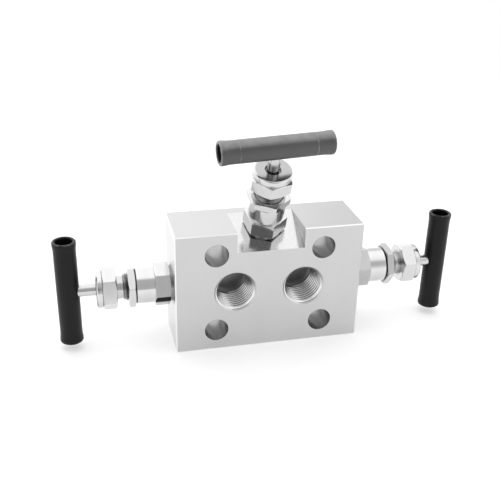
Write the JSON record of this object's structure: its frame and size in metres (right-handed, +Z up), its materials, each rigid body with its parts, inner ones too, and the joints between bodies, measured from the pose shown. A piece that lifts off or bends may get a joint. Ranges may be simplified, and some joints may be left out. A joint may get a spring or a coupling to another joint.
{
  "type": "instrument valve manifold",
  "caption": "Drilled steel block with two side isolating valves and a tilted equalising valve on top, each with a turned bonnet and a black T-bar handle, for a pressure instrument.",
  "frame": {"origin": "centre of the block's flat bottom face", "axes": "+X to the right along the side valves, +Y away from the process ports towards the instrument, +Z up"},
  "size_m": [0.2063, 0.0425, 0.1128],
  "materials": {
    "block_steel": "satin, fine milled",
    "turned_steel": "polished, turned",
    "stem_steel": "polished, ground",
    "dark_screw": "black oxide",
    "graphite": "matt",
    "white_seal": "matt",
    "black_handle": "satin"
  },
  "bodies": {
    "manifold": {"manifold_block": "block_steel", "left_flange_seal": "white_seal", "right_flange_seal": "white_seal", "left_bonnet": "turned_steel", "left_bonnet_seal": "white_seal", "left_packing_rings": "graphite", "left_packing_follower": "turned_steel", "left_gland_nut": "turned_steel", "left_lock_nut": "turned_steel", "left_gland_cap": "turned_steel", "right_bonnet": "turned_steel", "right_bonnet_seal": "white_seal", "right_packing_rings": "graphite", "right_packing_follower": "turned_steel", "right_gland_nut": "turned_steel", "right_lock_nut": "turned_steel", "right_gland_cap": "turned_steel", "equalising_bonnet": "turned_steel", "equalising_bonnet_seal": "white_seal", "equalising_packing_rings": "graphite", "equalising_packing_follower": "turned_steel", "equalising_gland_nut": "turned_steel", "equalising_lock_nut": "turned_steel", "equalising_gland_cap": "turned_steel"},
    "left_tip": {"left_stem_tip": "stem_steel"},
    "left_stem": {"left_stem": "stem_steel", "left_handle_core": "stem_steel", "left_set_screw": "dark_screw", "left_handle_tube": "black_handle"},
    "right_tip": {"right_stem_tip": "stem_steel"},
    "right_stem": {"right_stem": "stem_steel", "right_handle_core": "stem_steel", "right_set_screw": "dark_screw", "right_handle_tube": "black_handle"},
    "equalising_tip": {"equalising_stem_tip": "stem_steel"},
    "equalising_stem": {"equalising_stem": "stem_steel", "equalising_handle_core": "stem_steel", "equalising_set_screw": "dark_screw", "equalising_handle_tube": "black_handle"}
  },
  "joints": [
    {"name": "left_stem_travel", "type": "slide", "parent": "manifold", "child": "left_tip", "axis": [-1, 0, 0], "range_m": [-0.0052, 0.0008]},
    {"name": "left_stem_turn", "type": "hinge", "parent": "left_tip", "child": "left_stem", "pos_m": [-0.0775, 0, 0.03175], "axis": [-1, 0, 0], "range_deg": [-1497.6, 230.4]},
    {"name": "right_stem_travel", "type": "slide", "parent": "manifold", "child": "right_tip", "axis": [1, 0, 0], "range_m": [-0.0035, 0.0025]},
    {"name": "right_stem_turn", "type": "hinge", "parent": "right_tip", "child": "right_stem", "pos_m": [0.0775, 0, 0.03175], "axis": [1, 0, 0], "range_deg": [-1008, 720]},
    {"name": "equalising_stem_travel", "type": "slide", "parent": "manifold", "child": "equalising_tip", "axis": [0, -0.3764, 0.9265], "range_m": [-0.0049, 0.0011]},
    {"name": "equalising_stem_turn", "type": "hinge", "parent": "equalising_tip", "child": "equalising_stem", "pos_m": [0, -0.01129, 0.08739], "axis": [0, -0.3764, 0.9265], "range_deg": [-1411.2, 316.8]}
  ],
  "couplings": [
    {"joint": "left_stem_turn", "follows": "left_stem_travel", "rad_per_m": 5026.5},
    {"joint": "right_stem_turn", "follows": "right_stem_travel", "rad_per_m": 5026.5},
    {"joint": "equalising_stem_turn", "follows": "equalising_stem_travel", "rad_per_m": 5026.5}
  ]
}
